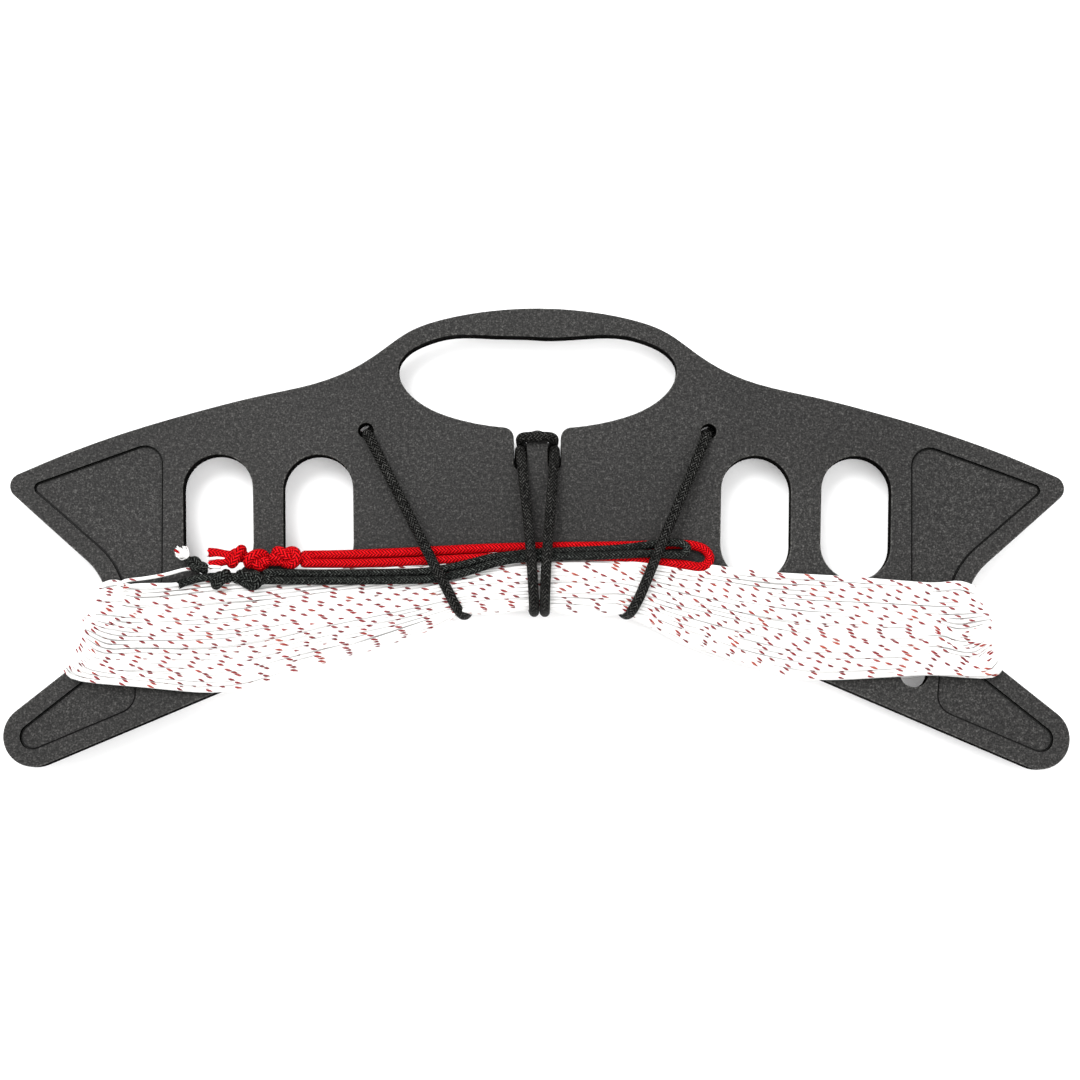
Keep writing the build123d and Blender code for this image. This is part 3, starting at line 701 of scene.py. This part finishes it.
# ------------------------------------------------------------------ build: wound lines
routes = wound_routes()
leads = {0: LEAD_A + [(-0.0889, -0.0093, 0.0128)], 1: LEAD_B + [(-0.0918, -0.0134, 0.0140)]}
for index, pts in enumerate(routes):
    ctrl = [tuple(0.001 * float(c) for c in p) for p in pts] + list(leads[index])
    path = nurbs_line(ctrl, 3)
    name = "flying_line_" + "ab"[index]
    verts, faces, uv, caps, cap_uv = tube_data(path, LINE_D / 2, 8)
    # turn the map so that its zero faces outwards: up on the front, down on the back, out at the ends
    full = np.concatenate([path[:1], path[:1], path, path[-1:], path[-1:]])
    t_, n_, b_ = frames_of(path)
    n_ = np.concatenate([n_[:1], n_[:1], n_, n_[-1:], n_[-1:]])
    b_ = np.concatenate([b_[:1], b_[:1], b_, b_[-1:], b_[-1:]])
    ends = np.clip((np.abs(full[:, 0]) - 0.108) / 0.006, 0, 1)
    out = np.stack([np.sign(full[:, 0]) * ends * 1.5, np.zeros(len(full)),
                    np.clip((full[:, 2] - 0.0075) / 0.003, -1, 1)], 1)
    outward = np.unwrap(np.arctan2((out * b_).sum(1), (out * n_).sum(1))) / (2 * math.pi)
    rng = np.random.default_rng(31 + index)
    length = along_of(path)
    length = np.concatenate([length[:1], length[:1], length, length[-1:], length[-1:]])
    knots = np.arange(0, length[-1] + 0.12, 0.055)
    drift = np.interp(length, knots, rng.normal(0, 0.055, len(knots)))
    shift = outward + drift
    rings = np.repeat(np.arange(len(length) - 1), 8)
    # no two turns are quite the same length, so the dashes of neighbours fall in different places
    laps = np.arange(0, length[-1] + 0.5, 0.2445)
    slide = np.interp(length, laps, np.cumsum(rng.uniform(-6.0, 6.0, len(laps))))
    uv = uv.reshape(-1, 4, 2)
    uv[:, 0:2, 0] += slide[rings][:, None]
    uv[:, 2:4, 0] += slide[rings + 1][:, None]
    uv[:, 0:2, 1] -= shift[rings][:, None]
    uv[:, 2:4, 1] -= shift[rings + 1][:, None]
    uv = uv.reshape(-1, 2)
    # a second map in rows, one row for each turn, so that the finish can be stored finely
    s = along_of(path)
    rows = TURNS + 2
    sides = 8
    lengths = np.concatenate([[0, 0], s, [s[-1], s[-1]]])
    quad_ring = np.repeat(np.arange(len(lengths) - 1), sides)
    row_len = s[-1] / rows * 1.0001
    row = np.floor(lengths[quad_ring] / row_len)
    ua = (lengths[quad_ring] - row * row_len) / row_len
    ub_ = (lengths[quad_ring + 1] - row * row_len) / row_len
    j = np.tile(np.arange(sides), len(lengths) - 1)
    va, vb = (row + 0.05 + 0.9 * j / sides) / rows, (row + 0.05 + 0.9 * (j + 1) / sides) / rows
    ua, ub_ = 0.01 + 0.97 * ua, 0.01 + 0.97 * ub_
    bake = np.stack([np.stack([ua, va], 1), np.stack([ua, vb], 1),
                     np.stack([ub_, vb], 1), np.stack([ub_, va], 1)], 1).reshape(-1, 2)
    cap_bake = np.array([(0.002, 0.002)] * sides + [(0.004, 0.004)] * sides)
    all_faces = [tuple(f) for f in faces.tolist()] + [tuple(c) for c in caps]
    obj = mesh_object(name, verts, all_faces,
                      {"cord": np.concatenate([uv] + cap_uv), "OFBake": np.concatenate([bake, cap_bake])},
                      mat_line)
    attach(obj, "winder")

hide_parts("line_winding_front", "line_winding_turns_left", "flying_line_lead_upper")
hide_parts("line_winding_back", "line_winding_turns_right", "line_winding_under_arch",
            "flying_line_lead_lower")

# ------------------------------------------------------------------ build: elastic and leaders
shift_up = {9: 0.0, 5: 0.0004, 6: 0.00062, 7: 0.0007, 8: 0.0006, 27: 0.00045, 26: 0.0005, 25: 0.0004, 28: 0.0003}
BLACK_LEADER = [(x, y + shift_up.get(k, 0.0), z) for k, (x, y, z) in enumerate(BLACK_LEADER)]
cord_jobs = [
    ("elastic_left_cord", ELASTIC_LEFT, ELASTIC_D, mat_elastic, "elastic", ["elastic_left"]),
    ("elastic_right_cord", ELASTIC_RIGHT, ELASTIC_D, mat_elastic, "elastic", ["elastic_right"]),
    ("red_leader_cord", RED_LEADER, RED_D, mat_red, "red_braid", ["red_leader"]),
    ("black_leader_cord", BLACK_LEADER, BLACK_D, mat_black, "black_braid", ["black_leader"]),
]
made = {}
for name, route, diameter, material, slot, replaced in cord_jobs:
    path = even(nurbs_line(route, 24), 0.0004)
    obj = tube(name, path, diameter / 2, 32, material)
    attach(obj, "winder")
    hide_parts(*replaced)
    made[name] = (obj, path, along_of(path)[-1])

loop_route = RETURN_LEFT[:-1] + HOOK_LOOP[1:-1] + RETURN_RIGHT[:-1][::-1]
path = even(nurbs_line(loop_route, 24), 0.0004)
loop = tube("elastic_loop_cord", path, ELASTIC_D / 2, 32, mat_elastic)
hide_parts("elastic_hook_loop", "elastic_return_left", "elastic_return_right")
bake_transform(loop)
made["elastic_loop_cord"] = (loop, path, along_of(path)[-1])

# ------------------------------------------------------------------ build: knots
# The way of a tight overhand knot, in cord diameters, from its right end to its left one.
KNOT = [
    (2.07, 0.03, 0.0), (1.44, 0.11, 0.02), (0.81, 0.14, -0.05), (0.32, -0.06, -0.38), (0.02, -0.41, -0.5),
    (-0.44, -0.79, -0.31), (-0.87, -0.86, 0.14), (-1.12, -0.59, 0.65), (-1.15, -0.05, 0.97),
    (-0.94, 0.55, 0.96), (-0.56, 0.95, 0.66), (-0.15, 1.05, 0.19), (0.15, 1.05, -0.19), (0.56, 0.96, -0.67),
    (0.94, 0.56, -0.97), (1.15, -0.04, -0.97), (1.12, -0.59, -0.66), (0.87, -0.87, -0.14),
    (0.44, -0.8, 0.32), (-0.02, -0.41, 0.52), (-0.32, -0.06, 0.39), (-0.81, 0.14, 0.05),
    (-1.43, 0.12, -0.02), (-2.07, 0.03, 0.0)]


def knot(centre, size, roll, heading=0.0, flip=False):
    """Control points, in metres, of a knot of that size in mm for each diameter; roll turns it about its own line."""
    p = np.array(KNOT[1:-1])
    if flip:
        p[:, 2] *= -1
    a = math.radians(roll)
    y, z = p[:, 1] * math.cos(a) - p[:, 2] * math.sin(a), p[:, 1] * math.sin(a) + p[:, 2] * math.cos(a)
    p = np.stack([p[:, 0], y, z], 1) * np.array(size)
    h = math.radians(heading)
    x, y = p[:, 0] * math.cos(h) - p[:, 1] * math.sin(h), p[:, 0] * math.sin(h) + p[:, 1] * math.cos(h)
    return [tuple(0.001 * (c + o) for c, o in zip(q, centre)) for q in np.stack([x, y, p[:, 2]], 1)]


def knotted(name, parts, material, slot, *replaced):
    obj = tubes(name, [(even(nurbs_line(list(route), 16), 0.00035), radius, 28) for route, radius in parts], material)
    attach(obj, "winder")
    if replaced:
        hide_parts(*replaced)
    return obj


red_inner = knotted("red_knot_inner", [
    ([(-0.0592, -0.0062, 0.0124)] + knot((-65.1, -6.25, 12.9), (2.45, 1.75, 1.5), 205), 0.00135),
    ([(-0.0665, -0.0073, 0.0121), (-0.0690, -0.0074, 0.0121), (-0.0712, -0.0073, 0.0122)], 0.00125)],
    mat_red, "red_braid", "red_leader_knot_inner")
red_middle = knotted("red_knot_middle", [
    (knot((-72.8, -7.2, 12.9), (1.75, 1.7, 1.5), 25, -14), 0.00132),
    ([(-0.0738, -0.0067, 0.0124), (-0.0758, -0.0067, 0.0123), (-0.0776, -0.0064, 0.0123)], 0.0012)],
    mat_red, "red_braid", "red_leader_knot_middle")
red_end = knotted("red_knot_end", [
    (knot((-78.2, -6.15, 12.8), (1.45, 1.7, 1.45), 110, 10), 0.00128)],
    mat_red, "red_braid", "red_leader_knot_end")


def cut_tail(name, route, radius, material, replaced):
    """A short stretch of sleeve whose cut end has opened a little."""
    line = even(nurbs_line(list(route), 24), 0.00025)
    s = along_of(line)
    swell = radius * (1 + 0.13 * np.clip((s - s[-1] + 0.0022) / 0.0022, 0, 1) ** 2)
    verts, faces, uv, caps, cap_uv = tube_data(line, swell, 32, taper=False)
    verts = np.array(verts).reshape(len(line), 32, 3)
    # the cut is ragged
    rng = np.random.default_rng(len(name))
    a = np.arange(32) / 32 * 2 * math.pi
    ragged = 0.00022 * np.sin(5 * a + 1) + 0.00012 * rng.normal(size=32)
    tangent = line[-1] - line[-2]
    tangent /= np.linalg.norm(tangent)
    verts[-1] += ragged[:, None] * tangent
    # the end is hollow: the wall turns in and runs back inside the sleeve
    k = len(line)
    inner = line[[-1, -3, -6]][:, None, :] + (verts[-1] - line[-1] - ragged[:, None] * tangent)[None] * 0.72
    verts = np.concatenate([verts, inner])
    quads = [tuple(f) for f in faces.tolist()]
    more, more_uv = [], []
    for r in range(k - 1, k + 2):
        for q in range(32):
            q2 = (q + 1) % 32
            more.append((r * 32 + q, r * 32 + q2, (r + 1) * 32 + q2, (r + 1) * 32 + q))
            u0, u1 = s[-1] * 1000 + 0.3 * (r - k + 1), s[-1] * 1000 + 0.3 * (r - k + 2)
            more_uv += [(u0, q / 32), (u0, (q + 1) / 32), (u1, (q + 1) / 32), (u1, q / 32)]
    last = [tuple(range((k + 2) * 32, (k + 3) * 32))]
    last_uv = [(s[-1] * 1000, q / 32) for q in range(32)]
    obj = mesh_object(name, verts.reshape(-1, 3), quads + more + last + [tuple(caps[0])],
                      {"cord": np.concatenate([uv, np.array(more_uv), np.array(last_uv), cap_uv[0]])}, material)
    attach(obj, "winder")
    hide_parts(replaced)
    return obj


red_upper = cut_tail("red_tail_upper", [(-0.0788, -0.0060, 0.0130)] + RED_TAIL_UPPER[:-1] + [(-0.0853, -0.0053, 0.0128)], 0.00122, mat_red,
                     "red_leader_tail_upper")
red_lower = cut_tail("red_tail_lower", [(-0.0788, -0.0074, 0.0128)] + RED_TAIL_LOWER[:-1] + [(-0.0851, -0.0084, 0.0128)], 0.00106, mat_red,
                     "red_leader_tail_lower")

black_inner = knotted("black_knot_inner", [
    ([(-0.0690, -0.0116, 0.0138)] + knot((-74.6, -12.3, 13.9), (2.3, 1.45, 1.3), 205, -4), 0.00125),
    ([(-0.0765, -0.0117, 0.0134), (-0.0787, -0.0116, 0.0133), (-0.0806, -0.0116, 0.0134)], 0.0011)],
    mat_black, "black_braid", "black_leader_knot_inner")
black_end = knotted("black_knot_end", [
    (knot((-82.0, -12.2, 13.9), (1.35, 1.5, 1.3), 115, 4), 0.00122)],
    mat_black, "black_braid", "black_leader_knot_end")
black_tail = cut_tail("black_tail_cut", [(-0.0826, -0.0116, 0.0139)] + BLACK_TAIL[:-1] + [(-0.0928, -0.0137, 0.0140)],
                      0.00105, mat_black, "black_leader_tail")
stopper = knotted("line_stopper_tied", [
    (knot((-88.3, -8.5, 13.0), (1.75, 1.0, 0.95), 160, -36), 0.00098)],
    mat_black, "black_braid", "line_stopper_knot")

# white cores that show at the cut sleeves, and the frayed end of the upper line
mat_core = braid_material("core_white", 8, 0.5, (0.70, 0.69, 0.68), (0.90, 0.89, 0.88), (0.95, 0.95, 0.94),
                          rough=0.7, depth=0.00003, sheen=0.1)
cores = knotted("sleeve_cores", [
    ([(-0.0853, -0.00690, 0.0133), (-0.0838, -0.00665, 0.0136), (-0.0822, -0.00672, 0.0137), (-0.0805, -0.00690, 0.0133)], 0.00032),
    ([(-0.0848, -0.00895, 0.0137), (-0.0837, -0.00905, 0.0139), (-0.0824, -0.00915, 0.0136)], 0.00042)],
    mat_core, "line")


def frayed():
    rng = np.random.default_rng(8)
    root = np.array((-90.3, -7.0, 13.2))
    parts = []
    for k in range(30):
        spread = rng.normal(0, 1, 3)
        tip = np.array((-92.6, -4.95, 13.3)) + spread * (0.85, 0.75, 0.45)
        mid = 0.5 * (root + tip) + rng.normal(0, 0.38, 3)
        near = 0.75 * root + 0.25 * tip + rng.normal(0, 0.16, 3)
        curl = tip + rng.normal(0, 0.42, 3)
        route = [tuple(0.001 * q) for q in (root, near, mid, tip, curl)]
        parts.append((route, 0.00011 + 0.00014 * rng.random()))
    for a, b in (((-91.2, -6.2, 13.3), (-92.9, -5.2, 13.4)), ((-90.9, -6.6, 13.4), (-91.9, -5.9, 13.6)),
                 ((-92.2, -5.0, 13.2), (-92.9, -4.3, 13.3))):
        a, b = np.array(a), np.array(b)
        parts.append(([tuple(0.001 * q) for q in (a, 0.5 * (a + b) + (0.15, 0.1, 0.25), b)], 0.00042))
    return parts


fray = knotted("flying_line_fray", frayed(), mat_core, "line", "flying_line_frayed_end")
fray_red = knotted("flying_line_fray_red", [
    ([(-0.0928, -0.0054, 0.0136), (-0.0936, -0.0050, 0.0136), (-0.0941, -0.0047, 0.0134)], 0.00030),
    ([(-0.0924, -0.0060, 0.0135), (-0.0933, -0.0055, 0.0137), (-0.0939, -0.0053, 0.0135)], 0.00020)],
    mat_red, "line")

# the knots that hold the elastic behind its two holes
tie_left = knotted("elastic_tie_left", [
    (knot((0, 0, 0), (1.9, 2.0, 1.15), 90), 0.00118)], mat_elastic, "elastic", "elastic_knot_left")
tie_right = knotted("elastic_tie_right", [
    (knot((0, 0, 0), (1.9, 2.0, 1.15), 90), 0.00118)], mat_elastic, "elastic", "elastic_knot_right")
for tie, node in ((tie_left, "elastic_knot_left"), (tie_right, "elastic_knot_right")):
    cad = nodes[node]
    box = np.array([cad.matrix_world @ Vector(c) for c in cad.bound_box])
    co = np.array([v.co for v in tie.data.vertices])
    lo, hi = co.min(0), co.max(0)
    factor = (box.max(0) - box.min(0)) / (hi - lo)
    co = (co - 0.5 * (lo + hi)) * np.minimum(factor, 1.0) + 0.5 * (box.min(0) + box.max(0))
    tie.data.vertices.foreach_set("co", co.ravel())
    tie.data.update()


# ------------------------------------------------------------------ floor, light, camera
def stage():
    mesh = bpy.data.meshes.new("floor")
    mesh.from_pydata([(-3, -3, -0.0002), (3, -3, -0.0002), (3, 3, -0.0002), (-3, 3, -0.0002)], [], [(0, 1, 2, 3)])
    floor = bpy.data.objects.new("floor", mesh)
    bpy.context.scene.collection.objects.link(floor)
    m, nt, bsdf = new_material("floor_paper")
    paper = noise(nt, object_coordinates(nt), 60.0, 3.0)
    nt.links.new(ramp(nt, paper, [(0.3, (0.93, 0.93, 0.93)), (0.7, (0.95, 0.95, 0.95))]), bsdf.inputs["Base Color"])
    bsdf.inputs["Emission Color"].default_value = (1, 1, 1, 1)
    bsdf.inputs["Emission Strength"].default_value = 0.06
    bsdf.inputs["Roughness"].default_value = 0.9
    mesh.materials.append(m)


stage()

world = bpy.data.worlds.new("studio")
bpy.context.scene.world = world
world.use_nodes = True
world.node_tree.nodes["Background"].inputs[0].default_value = (1, 1, 1, 1)
world.node_tree.nodes["Background"].inputs[1].default_value = 1.22


def area(name, place, target, size, power):
    data = bpy.data.lights.new(name, "AREA")
    data.shape = "RECTANGLE"
    data.size, data.size_y = size
    data.energy = power
    obj = bpy.data.objects.new(name, data)
    bpy.context.scene.collection.objects.link(obj)
    obj.location = place
    d = Vector(target) - Vector(place)
    obj.rotation_euler = d.to_track_quat("-Z", "Y").to_euler()
    return obj


area("key", (-0.45, 0.55, 1.1), (0, 0, 0), (0.7, 0.7), 14.5)
area("fill", (0.7, -0.3, 1.2), (0, 0, 0), (0.9, 0.9), 6.2)

camera_data = bpy.data.cameras.new("camera")
camera_data.sensor_fit = "HORIZONTAL"
camera_data.angle = 2 * math.atan(0.14148 / 0.520)
camera_data.clip_start = 0.01
camera_data.clip_end = 20
camera = bpy.data.objects.new("camera", camera_data)
bpy.context.scene.collection.objects.link(camera)
tilt = math.radians(7.5)
roll = math.radians(0.15)
back = Vector((0, -math.sin(tilt), math.cos(tilt)))
right = Vector((1, 0, 0))
up = back.cross(right)
right, up = right * math.cos(roll) + up * math.sin(roll), up * math.cos(roll) - right * math.sin(roll)
target = Vector((0.00079, -0.0013, 0.010))
place = target + back * 0.520
camera.matrix_world = Matrix(((right.x, up.x, back.x, place.x),
                              (right.y, up.y, back.y, place.y),
                              (right.z, up.z, back.z, place.z),
                              (0, 0, 0, 1)))
bpy.context.scene.camera = camera
bpy.context.scene.view_settings.view_transform = "Standard"
bpy.context.scene.view_settings.look = "None"

# ------------------------------------------------------------------ cords, size
for name, length, far_end, lay, diameter in (
        ("elastic_left_cord", 0.213, "object", "taut", ELASTIC_D),
        ("elastic_right_cord", 0.213, "object", "taut", ELASTIC_D),
        ("elastic_loop_cord", 0.037, "object", "taut", ELASTIC_D),
        ("red_leader_cord", 0.215, "object", "loose", RED_D),
        ("black_leader_cord", 0.221, "object", "loose", BLACK_D)):
    obj, path, real = made[name]
